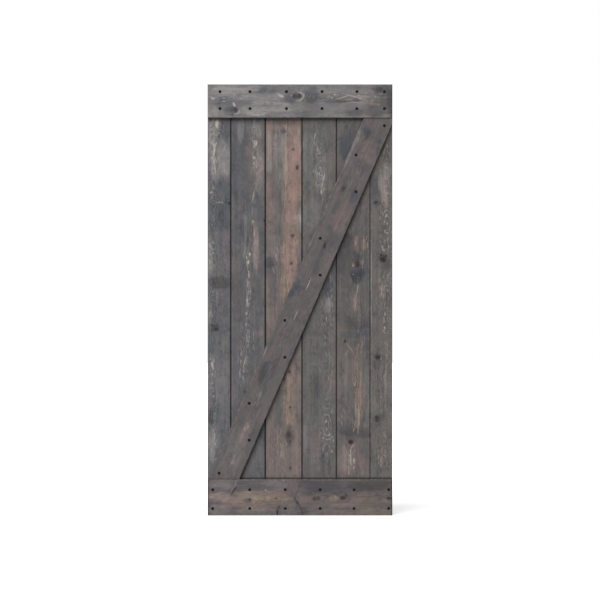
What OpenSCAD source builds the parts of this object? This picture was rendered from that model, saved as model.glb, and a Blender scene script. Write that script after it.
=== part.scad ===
// Z-brace barn door slab, in millimetres.
// Six upright tongue-and-groove planks, a rail across the top, a rail across the bottom and one
// diagonal brace between the rails, all screwed on from the front with flat-head wood screws.
// X runs across the door, Y through it with the front at -Y, and Z up.
// The origin is the middle of the bottom edge, half way through the thickness.

/* [Door] */
// Width of the door
door_w = 914; // [760:1:1100]
// Height of the door
door_h = 2134; // [1750:1:2600]

/* [Planks] */
// Thickness of a plank
plank_t = 19; // [15:0.5:25]
// Width of each inner plank, from seam to seam, left to right
inner_w = [171, 182, 170, 167]; // [140:1:200]
// How far the inner planks sit right of the door's middle; the two outer planks are ripped to suit
inner_shift = 2; // [-8:1:8]
// Open gap between two planks at the front
front_gap = 3; // [1:0.5:5]
// Open gap between two planks at the back
back_gap = 1; // [0.5:0.5:3]
// Thickness of the tongue
tongue_t = 6; // [4:0.5:8]
// Reach of the tongue past the seam
tongue_reach = 7; // [4:0.5:9]
// Clearance on each face of the tongue
tongue_fit = 0.3; // [0.1:0.1:0.5]
// Space between the tongue's tip and the bottom of the groove
groove_relief = 1; // [0.5:0.5:2]

/* [Rails] */
// Thickness of the rails and the brace
rail_t = 19; // [15:0.5:25]
// Height of the top rail
top_rail_h = 165; // [130:1:200]
// Height of the bottom rail
bottom_rail_h = 179; // [150:1:225]

/* [Brace] */
// Width of the brace
brace_w = 140; // [110:1:170]
// From the door's left side to the brace's foot, along the bottom rail
brace_toe = 3; // [0:1:20]
// Height of the upright cut where the brace's top end meets the door's right side
brace_side_cut = 28; // [10:1:60]
// Joint between each end of the brace and its rail
brace_end_gap = 1; // [0.5:0.5:3]

/* [Edges] */
// Bevel along the edges of every board
ease = 1.5; // [0.5:0.5:3]

/* [Screws] */
// Diameter of the head
head_d = 12; // [10:0.1:14]
// Diameter over the threads
thread_d = 6; // [5:0.1:7]
// Height of the head's straight rim
head_rim = 0.4; // [0.2:0.1:0.8]
// Depth of the head below the face of the board
head_sink = 0.5; // [0.2:0.1:1.5]
// Wood left behind the screw's tip
tip_cover = 5.5; // [3:0.5:8]
// Length of the tapered point
point_l = 7; // [4:0.5:10]
// Clearance around the screw in the rails and brace
clear_fit = 0.15; // [0.1:0.05:0.5]
// Clearance around the threads in the planks
pilot_fit = 0.05; // [0.05:0.05:0.2]
// Width across the cross recess
recess_w = 6.4; // [5:0.1:7.5]
// Thickness of each wing of the recess
recess_wing = 1.3; // [1:0.1:1.6]
// Depth of the recess
recess_depth = 2.8; // [2:0.1:3.4]

/* [Screw rows] */
// Lower row of the top rail, above the rail's lower edge
top_row = 45; // [30:1:60]
// Distance between the top rail's two rows
top_row_pitch = 84; // [60:1:100]
// Lower row of the bottom rail, above the rail's lower edge
bottom_row = 35; // [25:1:50]
// Distance between the bottom rail's two rows
bottom_row_pitch = 93; // [70:1:110]

/* [Screw columns] */
// Top rail: how far each inner column sits right of its plank's middle
top_shift = [10, 14, 14, 18]; // [-20:1:20]
// Top rail: end columns, from the door's left side and from its right side
top_end = [61, 39]; // [15:1:80]
// Bottom rail: how far each inner column sits right of its plank's middle
bottom_shift = [9, 8, 5, 4]; // [-20:1:20]
// Bottom rail: end columns, from the door's left side and from its right side
bottom_end = [25, 18]; // [15:1:80]
// Brace: how far each inner column sits right of its plank's middle
brace_shift = [6, 6, 5, 14]; // [-20:1:20]
// Least distance from a rail screw to a seam or to the door's side
screw_edge = 14; // [12:1:25]

/* [Brace screws] */
// From the brace's upper-left and lower-right edges to its screws, square to the edge
brace_screw_inset = [37, 31]; // [20:1:50]
// From the bottom rail and from the top rail to the brace's end screws
brace_end_inset = [31, 40]; // [20:1:50]

/* [Hidden] */
$fn = 48;
eps = 1;            // how far a cut runs past the face that it opens
tip_r = 0.25;       // blunt end of the screw's point
tongue_ease = 0.8;  // bevel along the tongue's tip

plank_colours = [
    [0.42, 0.42, 0.42],
    [0.40, 0.40, 0.40],
    [0.47, 0.41, 0.39],
    [0.41, 0.41, 0.40],
    [0.40, 0.38, 0.37],
    [0.43, 0.41, 0.39]
];
top_rail_colour = [0.47, 0.46, 0.46];
bottom_rail_colour = [0.41, 0.38, 0.37];
brace_colour = [0.40, 0.37, 0.37];
screw_colour = [0.07, 0.07, 0.08];

// The first k entries of v, added up.
function sum_first(v, k) = k == 0 ? 0 : v[k - 1] + sum_first(v, k - 1);

n_inner = len(inner_w);
n_planks = n_inner + 2;
left = -door_w / 2;
right = door_w / 2;
left_plank_w = (door_w - sum_first(inner_w, n_inner)) / 2 + inner_shift;

// seams[i] and seams[i + 1] bound plank i, counted from 0 at the left.
seams = [
    left,
    for (k = [0 : n_inner]) left + left_plank_w + sum_first(inner_w, k),
    right
];

// The planks' front faces and the rails' and brace's back faces meet at seat_y.
seat_y = (rail_t - plank_t) / 2;
front_y = seat_y - rail_t;

tongue_y0 = (plank_t - tongue_t) / 2;
tongue_y1 = tongue_y0 + tongue_t;

// The brace's upper-left edge starts from its foot, and its lower-right edge ends where the
// side cut starts, so the lean follows from those two points and the brace's width.
opening_z0 = bottom_rail_h;
opening_z1 = door_h - top_rail_h;
brace_foot = [left + brace_toe, opening_z0];
brace_run = [right - brace_foot.x, opening_z1 - brace_side_cut - brace_foot.y];
brace_lean = acos(brace_w / norm(brace_run)) - atan2(brace_run.y, brace_run.x);

// X of a line that runs along the brace, "across" from its upper-left edge, at height z.
function brace_x(z, across) =
    brace_foot.x + (z - brace_foot.y) * tan(brace_lean) + across / cos(brace_lean);

// Height of the same line at x.
function brace_z(x, across) =
    brace_foot.y + (x - brace_foot.x - across / cos(brace_lean)) / tan(brace_lean);

screw_l = rail_t + plank_t - head_sink - tip_cover;
head_r = head_d / 2;
thread_r = thread_d / 2;

function plank_mid(i) = (seams[i] + seams[i + 1]) / 2;

// x, kept at least screw_edge inside plank i.
function kept_in_plank(i, x) = min(max(x, seams[i] + screw_edge), seams[i + 1] - screw_edge);

function rail_columns(shift, end) = [
    kept_in_plank(0, left + end[0]),
    for (i = [1 : n_inner]) kept_in_plank(i, plank_mid(i) + shift[i - 1]),
    kept_in_plank(n_planks - 1, right - end[1])
];

// Screw places are [x, z] on the front of the door, from the bottom up and left to right.
function rail_screws(rail_z, row, pitch, columns) =
    [for (z = [rail_z + row, rail_z + row + pitch]) for (x = columns) [x, z]];

bottom_rail_screws =
    rail_screws(0, bottom_row, bottom_row_pitch, rail_columns(bottom_shift, bottom_end));
top_rail_screws =
    rail_screws(opening_z1, top_row, top_row_pitch, rail_columns(top_shift, top_end));

// One screw at each end of the brace, and one near each long edge on every inner plank.
brace_bottom_z = opening_z0 + brace_end_inset[0];
brace_top_z = opening_z1 - brace_end_inset[1];
upper_line = brace_screw_inset[0];
lower_line = brace_w - brace_screw_inset[1];
brace_screws = [
    [brace_x(brace_bottom_z, upper_line), brace_bottom_z],
    for (i = [1 : n_inner], across = [lower_line, upper_line])
        let (x = plank_mid(i) + brace_shift[i - 1]) [x, brace_z(x, across)],
    [brace_x(brace_top_z, lower_line), brace_top_z]
];

function numbered(prefix, count) =
    [for (i = [1 : count]) str(prefix, i < 10 && count > 9 ? "0" : "", i)];

plank_names = numbered("plank_", n_planks);
top_screw_names = numbered("top_rail_screw_", len(top_rail_screws));
bottom_screw_names = numbered("bottom_rail_screw_", len(bottom_rail_screws));
brace_screw_names = numbered("brace_screw_", len(brace_screws));

// Left edge of a plank's section at seam x, front to back: square on the door's side, and
// grooved elsewhere.
function left_edge(x, grooved) = grooved
    ? let (front = x + front_gap / 2, back = x + back_gap / 2, bottom = x + tongue_reach + groove_relief)
      [
          [front + ease, 0],
          [front, ease],
          [front, tongue_y0 - tongue_fit],
          [bottom, tongue_y0 - tongue_fit],
          [bottom, tongue_y1 + tongue_fit],
          [back, tongue_y1 + tongue_fit],
          [back, plank_t - ease],
          [back + ease, plank_t]
      ]
    : [[x + ease, 0], [x, ease], [x, plank_t - ease], [x + ease, plank_t]];

// Right edge of a plank's section at seam x, back to front: square, or with the tongue.
function right_edge(x, tongued) = tongued
    ? let (front = x - front_gap / 2, back = x - back_gap / 2, tip = x + tongue_reach)
      [
          [back - ease, plank_t],
          [back, plank_t - ease],
          [back, tongue_y1],
          [tip - tongue_ease, tongue_y1],
          [tip, tongue_y1 - tongue_ease],
          [tip, tongue_y0 + tongue_ease],
          [tip - tongue_ease, tongue_y0],
          [front, tongue_y0],
          [front, ease],
          [front - ease, 0]
      ]
    : [[x - ease, plank_t], [x, plank_t - ease], [x, ease], [x - ease, 0]];

// Section of a board w wide, with its seat along y = 0 and its front edges eased.
function bar_section(w) = [
    [0, 0],
    [w, 0],
    [w, ease - rail_t],
    [w - ease, -rail_t],
    [ease, -rail_t],
    [0, ease - rail_t]
];

// Places its children at a screw's head, with +Z running into the door.
module at_screw(place) {
    translate([place.x, front_y + head_sink, place.y]) rotate([-90, 0, 0]) children();
}

// Countersunk hole through a rail or the brace. The cone is as steep as the head's.
module clearance_hole() {
    bore_r = thread_r + clear_fit;
    cone_end = head_rim + head_r - thread_r;
    mouth = -head_sink - eps;
    mouth_r = bore_r + cone_end - mouth;
    rotate_extrude() polygon([
        [0, mouth],
        [mouth_r, mouth],
        [bore_r, cone_end],
        [bore_r, rail_t - head_sink + eps],
        [0, rail_t - head_sink + eps]
    ]);
}

// Blind hole in a plank, as wide as the threads and tapered like the point.
module pilot_hole() {
    bore_r = thread_r + pilot_fit;
    rotate_extrude() polygon([
        [0, rail_t - head_sink - eps],
        [bore_r, rail_t - head_sink - eps],
        [bore_r, screw_l - point_l],
        [tip_r + pilot_fit, screw_l + pilot_fit],
        [0, screw_l + pilot_fit]
    ]);
}

module cross_recess() {
    for (turn = [0, 90]) rotate([0, 0, turn]) rotate([90, 0, 0])
        linear_extrude(recess_wing, center = true) polygon([
            [-recess_w / 2, -eps],
            [recess_w / 2, -eps],
            [recess_w / 2, 0],
            [recess_wing / 2, recess_depth],
            [-recess_wing / 2, recess_depth],
            [-recess_w / 2, 0]
        ]);
}

module screw(place) {
    color(screw_colour) at_screw(place) difference() {
        rotate_extrude() polygon([
            [0, 0],
            [head_r, 0],
            [head_r, head_rim],
            [thread_r, head_rim + head_r - thread_r],
            [thread_r, screw_l - point_l],
            [tip_r, screw_l],
            [0, screw_l]
        ]);
        cross_recess();
    }
}

module plank(i) {
    outline = concat(left_edge(seams[i], i > 0), right_edge(seams[i + 1], i < n_planks - 1));
    color(plank_colours[i % len(plank_colours)]) difference() {
        translate([0, seat_y, 0]) linear_extrude(door_h) polygon(outline);
        for (place = concat(top_rail_screws, bottom_rail_screws, brace_screws))
            if (place.x > seams[i] - head_r && place.x < seams[i + 1] + head_r)
                at_screw(place) pilot_hole();
    }
}

module rail(z, h, screws, colour) {
    color(colour) difference() {
        translate([left, seat_y, z + h]) rotate([0, 90, 0]) linear_extrude(door_w) polygon(bar_section(h));
        for (place = screws) at_screw(place) clearance_hole();
    }
}

module diagonal_brace() {
    reach = norm(brace_run);
    color(brace_colour) difference() {
        intersection() {
            translate([brace_foot.x, seat_y, brace_foot.y]) rotate([0, brace_lean, 0])
                translate([0, 0, -reach / 2]) linear_extrude(2 * reach) polygon(bar_section(brace_w));
            translate([left, front_y - eps, opening_z0 + brace_end_gap])
                cube([door_w, rail_t + 2 * eps, opening_z1 - opening_z0 - 2 * brace_end_gap]);
        }
        for (place = brace_screws) at_screw(place) clearance_hole();
    }
}

for (i = [0 : n_planks - 1])
    plank(i);
rail(opening_z1, top_rail_h, top_rail_screws, top_rail_colour);  // top_rail
rail(0, bottom_rail_h, bottom_rail_screws, bottom_rail_colour);  // bottom_rail
diagonal_brace();
for (i = [0 : len(top_rail_screws) - 1])
    screw(top_rail_screws[i]);
for (i = [0 : len(bottom_rail_screws) - 1])
    screw(bottom_rail_screws[i]);
for (i = [0 : len(brace_screws) - 1])
    screw(brace_screws[i]);
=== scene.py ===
"""A Z-brace barn door slab: six stained pine planks, with two rails and a brace screwed on in front.

Lengths are in metres. X runs across the door, Y through it with the front at -Y, and Z up. The marks on
the boards are in millimetres, as they would be measured with a rule: from the door's left side and from
its bottom edge.
"""

import math

import bpy
import numpy as np
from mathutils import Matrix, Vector


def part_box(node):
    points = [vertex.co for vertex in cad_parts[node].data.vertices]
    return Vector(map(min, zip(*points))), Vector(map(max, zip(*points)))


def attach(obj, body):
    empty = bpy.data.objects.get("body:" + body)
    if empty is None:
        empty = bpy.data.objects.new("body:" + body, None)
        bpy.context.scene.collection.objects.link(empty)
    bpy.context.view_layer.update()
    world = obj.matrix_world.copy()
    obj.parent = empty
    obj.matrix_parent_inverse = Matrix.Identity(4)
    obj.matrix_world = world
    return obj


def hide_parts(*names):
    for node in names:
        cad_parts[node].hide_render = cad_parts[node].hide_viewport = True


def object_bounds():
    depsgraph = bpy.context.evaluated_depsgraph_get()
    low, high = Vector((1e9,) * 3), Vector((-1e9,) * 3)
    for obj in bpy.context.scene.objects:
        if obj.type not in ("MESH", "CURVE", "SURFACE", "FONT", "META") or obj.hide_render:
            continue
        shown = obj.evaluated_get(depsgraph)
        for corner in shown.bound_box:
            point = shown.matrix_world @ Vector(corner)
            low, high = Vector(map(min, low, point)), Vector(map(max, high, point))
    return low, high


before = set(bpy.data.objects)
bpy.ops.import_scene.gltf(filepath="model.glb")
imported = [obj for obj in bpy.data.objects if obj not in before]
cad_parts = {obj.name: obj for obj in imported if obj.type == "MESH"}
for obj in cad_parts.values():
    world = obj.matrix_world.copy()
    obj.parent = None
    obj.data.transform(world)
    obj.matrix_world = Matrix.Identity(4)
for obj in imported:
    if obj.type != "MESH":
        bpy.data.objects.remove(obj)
cad_low, cad_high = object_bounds()
door_left, front_y, door_bottom = cad_low
door_right, back_y, door_top = cad_high


# ---------------------------------------------------------------------------------------------------------
# Camera: a very long lens straight in front of the door, level with its middle, far enough back that
# the sides of the door stay out of sight.

view_height = 2.969  # how much of the upright the picture takes in at the door's front face
lens, sensor = 200.0, 36.0  # millimetres

camera = bpy.data.objects.new("camera", bpy.data.cameras.new("camera"))
bpy.context.scene.collection.objects.link(camera)
camera.data.lens = lens
camera.data.sensor_width = sensor
door_middle = (door_bottom + door_top) / 2
camera.location = (0.0, front_y - view_height * lens / sensor, door_middle)
camera.rotation_euler = (math.radians(90), 0.0, 0.0)
bpy.context.scene.camera = camera


# ---------------------------------------------------------------------------------------------------------
# Planks: six upright knotty pine boards, tongue-and-groove along their long edges, planed, brushed with a
# thin carbon-grey stain that leaves knots, resin and worn grain showing through. The outer two are ripped
# square on the door's sides. The rails and the brace are screwed through into them.

plank_count, plank_t = 6, 0.019
seat_y = back_y - plank_t  # where the planks' fronts meet the rails' backs
front_gap, back_gap = 0.003, 0.001  # open joint between two planks at the front and at the back
tongue_t, tongue_reach, tongue_ease = 0.006, 0.007, 0.0008  # thickness, reach past the seam, worn corners
groove_fit, groove_relief = 0.0003, 0.001  # clearance on the tongue's faces and past its tip
ease = 0.0015  # rounding along the edges of every board
ease_turn = 0.3  # where the rounding's middle point lies, as a share of it
face_step, grain_step = 0.0028, 0.0052  # mesh spacing across and along a board
sharp_turn = math.radians(32)  # an edge where the faces turn by more than this is kept crisp


def spaced(marks, step):
    """Lines through every mark, with evenly spaced ones no more than about a step apart in between."""
    pieces = [
        np.linspace(a, b, max(1, round((b - a) / step)) + 1)[:-1] for a, b in zip(marks, marks[1:])
    ]
    return np.concatenate(pieces + [marks[-1:]])


def cloud(seed, *place):
    """Smooth random values from -1 to 1 in two or three dimensions. Every whole-numbered point has a
    value of its own, drawn from a list, and a place between such points takes their mean, weighted along
    each axis by t*t*(3 - 2t)."""
    values = np.random.default_rng(seed).uniform(-1, 1, 4096)
    strides = (1, 317, 1931)  # how far along the list the next point lies, for each axis
    cells = [np.floor(p).astype(np.int64) for p in place]
    shares = [(p - c) ** 2 * (3 - 2 * (p - c)) for p, c in zip(place, cells)]
    total = 0.0
    for corner in range(2 ** len(place)):
        weight, key = 1.0, 0
        for axis, (cell, share) in enumerate(zip(cells, shares)):
            up = corner >> axis & 1
            weight = weight * (share if up else 1 - share)
            key = key + (cell + up) * strides[axis]
        total = total + weight * values[key % len(values)]
    return total


def fade(value, start, stop):
    """0 below start, 1 above stop and a smooth s-curve between them; start may be the larger."""
    t = np.clip((value - start) / (stop - start), 0, 1)
    return t * t * (3 - 2 * t)


def skin(name, places, wood):
    """The closed surface of a solid made of lattice cells. places[i, j, k] is each lattice point, and
    wood[i, j, k] says which cells are solid. A face lies wherever a solid cell meets an empty one, and
    its corners run so that it points away from the solid. Points that no face uses are dropped."""
    index = np.arange(places[..., 0].size).reshape(places.shape[:3])
    padded = np.pad(wood, 1)
    quads = []
    for axis in range(3):
        a, b = (axis + 1) % 3, (axis + 2) % 3
        cells = np.moveaxis(padded, (axis, a, b), (0, 1, 2))
        points = np.moveaxis(index, (axis, a, b), (0, 1, 2))
        below, above = cells[:-1, 1:-1, 1:-1], cells[1:, 1:-1, 1:-1]
        ring = [points[:, :-1, :-1], points[:, 1:, :-1], points[:, 1:, 1:], points[:, :-1, 1:]]
        for wanted, order in ((below & ~above, (0, 1, 2, 3)), (above & ~below, (3, 2, 1, 0))):
            quads.append(np.stack([ring[c][wanted] for c in order], axis=1))
    used, corners = np.unique(np.concatenate(quads), return_inverse=True)
    mesh = bpy.data.meshes.new(name)
    mesh.from_pydata(places.reshape(-1, 3)[used], [], corners.reshape(-1, 4))
    mesh.polygons.foreach_set("use_smooth", np.ones(len(mesh.polygons), bool))
    mesh.set_sharp_from_angle(angle=sharp_turn)
    piece = bpy.data.objects.new(name, mesh)
    bpy.context.scene.collection.objects.link(piece)
    return piece, used


def to_board(board, place):
    """A place on the door, from its left side and bottom edge, as across and along the board."""
    x, z = door_left + place[0] - board["corner"][0], door_bottom + place[1] - board["corner"][1]
    c, s = math.cos(board["lean"]), math.sin(board["lean"])
    return x * c - z * s, x * s + z * c


def to_door(board, across, depth, along):
    """Points given across, through and along a board, in the door's own frame."""
    c, s = math.cos(board["lean"]), math.sin(board["lean"])
    x = board["corner"][0] + across * c + along * s
    z = board["corner"][1] - across * s + along * c
    return np.stack([x, board["front"] + depth, z], axis=-1)


def on_board(board, x, z, half_width, half_length):
    """A mark's place across and along a board and its half sizes, from its measures on the door."""
    return (*to_board(board, (x / 1000, z / 1000)), half_width / 1000, half_length / 1000)


def spots(board, across, along, marks, seed):
    """How strongly patches cover each point. A patch lies between an oval and a box: the distance from its
    middle, in half sizes, is (|dx|^2.6 + |dy|^2.6)^(1/2.6). Two noises roughen it before it is faded."""
    squareness = 2.6
    total = np.zeros_like(across)
    for n, (*measures, strength) in enumerate(marks):
        a, b, half_width, half_length = on_board(board, *measures)
        dx, dy = (across - a) / half_width, (along - b) / half_length
        distance = (np.abs(dx) ** squareness + np.abs(dy) ** squareness) ** (1 / squareness)
        distance = distance + 0.32 * cloud(seed + n, dx * 1.7, dy * 1.7)
        distance = distance + 0.15 * cloud(seed + n + 40, across / 0.010, along / 0.030)
        total = np.maximum(total, strength / 100 * fade(distance, 1.25, 0.65))
    return total


def shown(red, green, blue):
    """A colour given as it shows on a screen, from 0 to 255, as the linear colour that a material takes: a
    dark share is divided by 12.92, and a lighter one is ((share + 0.055) / 1.055) to the power of 2.4."""
    share = np.array([red, green, blue]) / 255
    linear = np.where(share <= 0.04045, share / 12.92, ((share + 0.055) / 1.055) ** 2.4)
    return (*(float(value) for value in linear), 1.0)


def put(piece, name, values):
    """Stores one number, or one vector, per vertex for the material to read."""
    kind = "FLOAT" if values.ndim == 1 else "FLOAT_VECTOR"
    attribute = piece.data.attributes.new(name, kind, "POINT")
    attribute.data.foreach_set("value" if values.ndim == 1 else "vector", values.astype(np.float32).ravel())


def figure(piece, board, across, depth, along):
    """Works out the grain of a board at each vertex, from how its tree grew.

    rings: the distance from the tree's heart, in growth rings. The heart wanders beside and behind the
    board, so rings come out as arches where it is near and as lines where it is far. Round each knot they
    rise in two hills, exp(-r*r) in shape, which close them into ovals, and an eye is such a rise without
    its knot. place: across, along and through the board. fibre: the same, where the fibres part round a
    knot as a stream parts round a pile. halo: the darker wood round knots. The stain's patches: how
    strongly each shows. A plank's back has the same patches the other way up. stain_and_shade: dark stain
    and painted shade along the seams' edges, and painted shade on the side faces, along the door's outer
    edges and on the front beside the boards that meet it. rubbed_and_lit_edge: the front corners of the
    board, rubbed pale, which also paints a highlight along them.
    """
    seed, ring = board["seed"], board["ring"]
    (heart_low, heart_high), heart_depth, heart_rise, bend = board["heart"]
    share = (along - along.min()) / (along.max() - along.min())
    heart_across = heart_low + (heart_high - heart_low) * share
    heart_across = heart_across + 0.010 * cloud(seed + 1, along / 0.3, 0 * along)
    heart_below = heart_depth + heart_rise * share
    heart_below = heart_below + bend * cloud(seed + 2, along / 0.16, across / 0.11)
    heart_below = heart_below + 0.35 * bend * cloud(seed + 3, along / 0.06, across / 0.045)
    radius = np.hypot(across - heart_across, depth - heart_below)
    rings = (radius + 0.0012 * cloud(seed + 4, along / 0.07, across / 0.02)) / ring
    fibre = across + 0.004 * cloud(seed + 5, along / 0.5, across / 0.2)
    halo = np.zeros_like(across)
    knot_spread, eye_spread = 2.4, 1.0  # how many half sizes away the lower hill still counts
    hills = [(knot[:4], knot[4] / 100, knot_spread) for knot in board.get("knots", ())]
    hills += [(eye, 0.0, eye_spread) for eye in board.get("eyes", ())]
    for measures, strength, spread in hills:
        a, b, half_width, half_length = on_board(board, *measures)
        dx, dy = (across - a) / half_width, (along - b) / half_length
        rings = rings + half_width / ring * 1.6 * np.exp(-(dx**2 + dy**2) / 1.7)
        rings = rings + half_width / ring * 0.7 * np.exp(-((dx / spread) ** 2) - (dy / spread / 1.6) ** 2)
        stream = np.maximum(dx**2 + (dy / 1.6) ** 2, 1.0)
        fibre = fibre - dx * half_width * (strength > 0) / stream
        halo = np.maximum(halo, strength * np.exp(-((np.hypot(dx, dy * 0.8) / 1.9) ** 2)))
    put(piece, "rings", rings)
    put(piece, "place", np.stack([across, along, depth], axis=-1))
    put(piece, "fibre", np.stack([fibre, along, depth], axis=-1))
    put(piece, "halo", halo)
    behind = (depth > plank_t / 2) & (not board["screwed"])  # the back half of a plank
    turned = np.where(behind, along.min() + along.max() - along, along)
    for n, name in enumerate(("smoke", "tan", "rose", "pale", "umber", "cream", "ash")):
        put(piece, name, spots(board, across, turned, board.get(name, ()), seed + 100 * (n + 1)))

    # Painted shade: the side faces, the door's outer edges and the front beside other boards are darkened
    # as shade, and the seams' edges take dark stain and painted shade.
    low_side, high_side = board["span"]
    inset = np.minimum(across - low_side, high_side - across)
    on_low_side = across - low_side < high_side - across
    rim, side_shade_share = np.where(on_low_side, *board["rims"]), np.where(on_low_side, *board["side_shade"])
    on_face = fade(depth, 0.004, 0.002)
    edge_stain_and_shade = rim * fade(inset, 0.0034, 0.0012) * on_face
    painted_side_shade = side_shade_share * fade(inset, 0.0006, 0.0) * fade(depth, 0.0016, 0.0030)
    stain_and_shade = np.maximum(edge_stain_and_shade, painted_side_shade)
    x, _, z = np.moveaxis(to_door(board, across, depth, along), -1, 0)
    for axis, line, reach, strength in board.get("joints", ()):
        beside = np.abs((z if axis == "z" else x) - line)
        stain_and_shade = np.maximum(stain_and_shade, strength * fade(beside, reach, 0.2 * reach) * on_face)
    put(piece, "stain_and_shade", stain_and_shade)
    # The front corners are rubbed pale, which also paints a highlight along them.
    put(piece, "rubbed_and_lit_edge", fade(inset, 0.0045, 0.0016) * fade(depth, 0.0022, 0.0008) * (rim < 0.5))


class Finish:
    """A material, with its nodes written as sums and mixes. Most methods give a new node's output."""

    def __init__(self, name):
        self.material = bpy.data.materials.new(name)
        self.material.use_nodes = True
        self.tree = self.material.node_tree
        self.shader = self.tree.nodes["Principled BSDF"]

    def node(self, kind, **settings):
        """A new node of this kind, with its settings made."""
        made = self.tree.nodes.new(kind)
        for key, value in settings.items():
            setattr(made, key, value)
        return made

    def feed(self, sockets, *given):
        """Links each socket to an output, or sets it to a plain value."""
        for socket, value in zip(sockets, given):
            if isinstance(value, bpy.types.NodeSocket):
                self.tree.links.new(value, socket)
            else:
                socket.default_value = value

    def coat(self, **given):
        """Feeds the shader's own sockets. A socket is named with low lines for the spaces."""
        for name, value in given.items():
            self.feed([self.shader.inputs[name.replace("_", " ")]], value)

    def read(self, attribute, output="Fac"):
        """What the piece's mesh stores under this name."""
        return self.node("ShaderNodeAttribute", attribute_name=attribute).outputs[output]

    def calc(self, operation, *given, clamp=False):
        """One step of arithmetic on numbers, kept from 0 to 1 if it is clamped."""
        made = self.node("ShaderNodeMath", operation=operation, use_clamp=clamp)
        self.feed(made.inputs, *given)
        return made.outputs[0]

    def times(self, a, b, clamp=False):
        return self.calc("MULTIPLY", a, b, clamp=clamp)

    def total(self, *values):
        """All the values added up."""
        result = values[0]
        for value in values[1:]:
            result = self.calc("ADD", result, value)
        return result

    def swung(self, value, size):
        """A noise value from 0 to 1, moved to swing about 0 by plus and minus half the size."""
        return self.calc("MULTIPLY_ADD", value, size, -size / 2)

    def vector(self, operation, *given, output="Vector"):
        """One step of arithmetic on places or colours."""
        made = self.node("ShaderNodeVectorMath", operation=operation)
        self.feed(made.inputs, *given)
        return made.outputs[output]

    def between(self, value, start, stop, low=0.0, high=1.0, easing="SMOOTHSTEP"):
        """low where the value is at start or short of it, high from stop on, and eased in between."""
        made = self.node("ShaderNodeMapRange", interpolation_type=easing)
        self.feed(made.inputs, value, start, stop, low, high)
        return made.outputs[0]

    def noise(self, places, scale, detail, rough=0.5):
        """Smooth noise from 0 to 1."""
        made = self.node("ShaderNodeTexNoise", noise_dimensions="3D")
        sockets = [made.inputs[name] for name in ("Vector", "Scale", "Detail", "Roughness")]
        self.feed(sockets, places, scale, detail, rough)
        return made.outputs["Fac"]

    def streaks(self, across, along, through, detail=2.0, rough=0.5):
        """Noise whose lumps are this long across, along and through the board, and follow its fibres."""
        sized = self.vector("MULTIPLY", self.read("fibre", "Vector"), (1 / across, 1 / along, 1 / through))
        return self.noise(sized, 1.0, detail, rough)

    def mixed(self, share, below, above):
        """The colour below where the share is 0, the one above where it is 1, and a mix between."""
        made = self.node("ShaderNodeMix", data_type="RGBA", clamp_factor=True)
        self.feed([made.inputs[0], made.inputs[6], made.inputs[7]], share, below, above)
        return made.outputs[2]


def oval(pine, board, wobble, x, z, half_width, half_length, lean=0.0):
    """The way and the distance from a mark's middle, in half sizes of an oval that leans clockwise by
    some degrees. The distance is roughened, and the board's thickness is left out of it."""
    across, along, half_width, half_length = on_board(board, x, z, half_width, half_length)
    made = pine.node("ShaderNodeMapping", vector_type="TEXTURE")
    turn = (0.0, 0.0, math.radians(-lean))
    size = (half_width, half_length, 1.0)
    pine.feed(made.inputs, pine.read("place", "Vector"), (across, along, 0.0), turn, size)
    offset = pine.vector("MULTIPLY", made.outputs[0], (1.0, 1.0, 0.0))
    return offset, pine.calc("ADD", pine.vector("LENGTH", offset, output="Value"), wobble)


def add_strokes(pine, board, wobble, colour, bare_wood):
    """Bare spots show the wood's own colour and cracks are black. Both are on the front alone, and fade
    out within the board's thickness."""
    depth = pine.node("ShaderNodeSeparateXYZ")
    pine.feed(depth.inputs, pine.read("place", "Vector"))
    in_front = pine.between(depth.outputs[2], 0.010, 0.006)
    crack_black = (0.018, 0.015, 0.015, 1.0)
    for kind, tint in (("bare", bare_wood), ("crack", crack_black)):
        cover = 0.0
        for x, z, half_width, half_length, strength, *lean in board.get(kind, ()):
            away = oval(pine, board, wobble, x, z, half_width, half_length, *lean)[1]
            cover = pine.calc("MAXIMUM", cover, pine.times(pine.between(away, 1.25, 0.45), strength / 100))
        if board.get(kind):
            colour = pine.mixed(pine.times(cover, in_front), colour, tint)
    return colour


def add_knots(pine, board, wobble, smudges, colour, stain):
    """Each knot is an oval of tight rings with a dark rim and heart. Some have a pale crescent beside
    them. Gives the colour, and how far each place is inside a knot."""
    pale_wood, black_rim = (0.400, 0.385, 0.360, 1.0), (0.009, 0.007, 0.007, 1.0)
    knots = board.get("knots", ())
    nearest, inside = 9.0, 0.0
    for x, z, half_width, half_length, strength, *facing in knots:
        offset, away = oval(pine, board, wobble, x, z, half_width, half_length)
        nearest = pine.calc("MINIMUM", away, nearest)
        inside = pine.calc("MAXIMUM", inside, pine.times(pine.between(away, 1.25, 0.72), strength / 100))
        if facing:
            turned = pine.vector("DOT_PRODUCT", offset, (*facing[0], 0.0), output="Value")
            lit_side = pine.between(pine.calc("DIVIDE", turned, away), -0.10, 0.45)
            band = pine.times(pine.between(away, 1.15, 1.32), pine.between(away, 1.75, 1.50))
            crescent = pine.times(band, lit_side, clamp=True)
            colour = pine.mixed(pine.times(crescent, 0.6), colour, pale_wood)
    if knots:
        red, green, blue = stain[:3]
        ruddy = board.get("ruddy", 0.90)
        dark_ring, pale_ring, worn_knot = (
            (red * share, green * share * ruddy, blue * share * ruddy, 1.0) for share in (0.13, 0.33, 0.50)
        )
        tight_ring = pine.between(pine.calc("FRACT", pine.times(nearest, 4.3)), 0.35, 0.9)
        wood = pine.mixed(tight_ring, dark_ring, pale_ring)
        wood = pine.mixed(pine.between(smudges, 0.48, 0.62), wood, worn_knot)
        rim = pine.times(pine.between(nearest, 0.80, 0.98), pine.between(nearest, 1.16, 1.0))
        dark = pine.calc("MAXIMUM", pine.times(rim, 0.5), pine.between(nearest, 0.45, 0.15), clamp=True)
        wood = pine.mixed(pine.times(dark, 0.75), wood, black_rim)
        colour = pine.mixed(inside, colour, wood)
    return colour, inside


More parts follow.
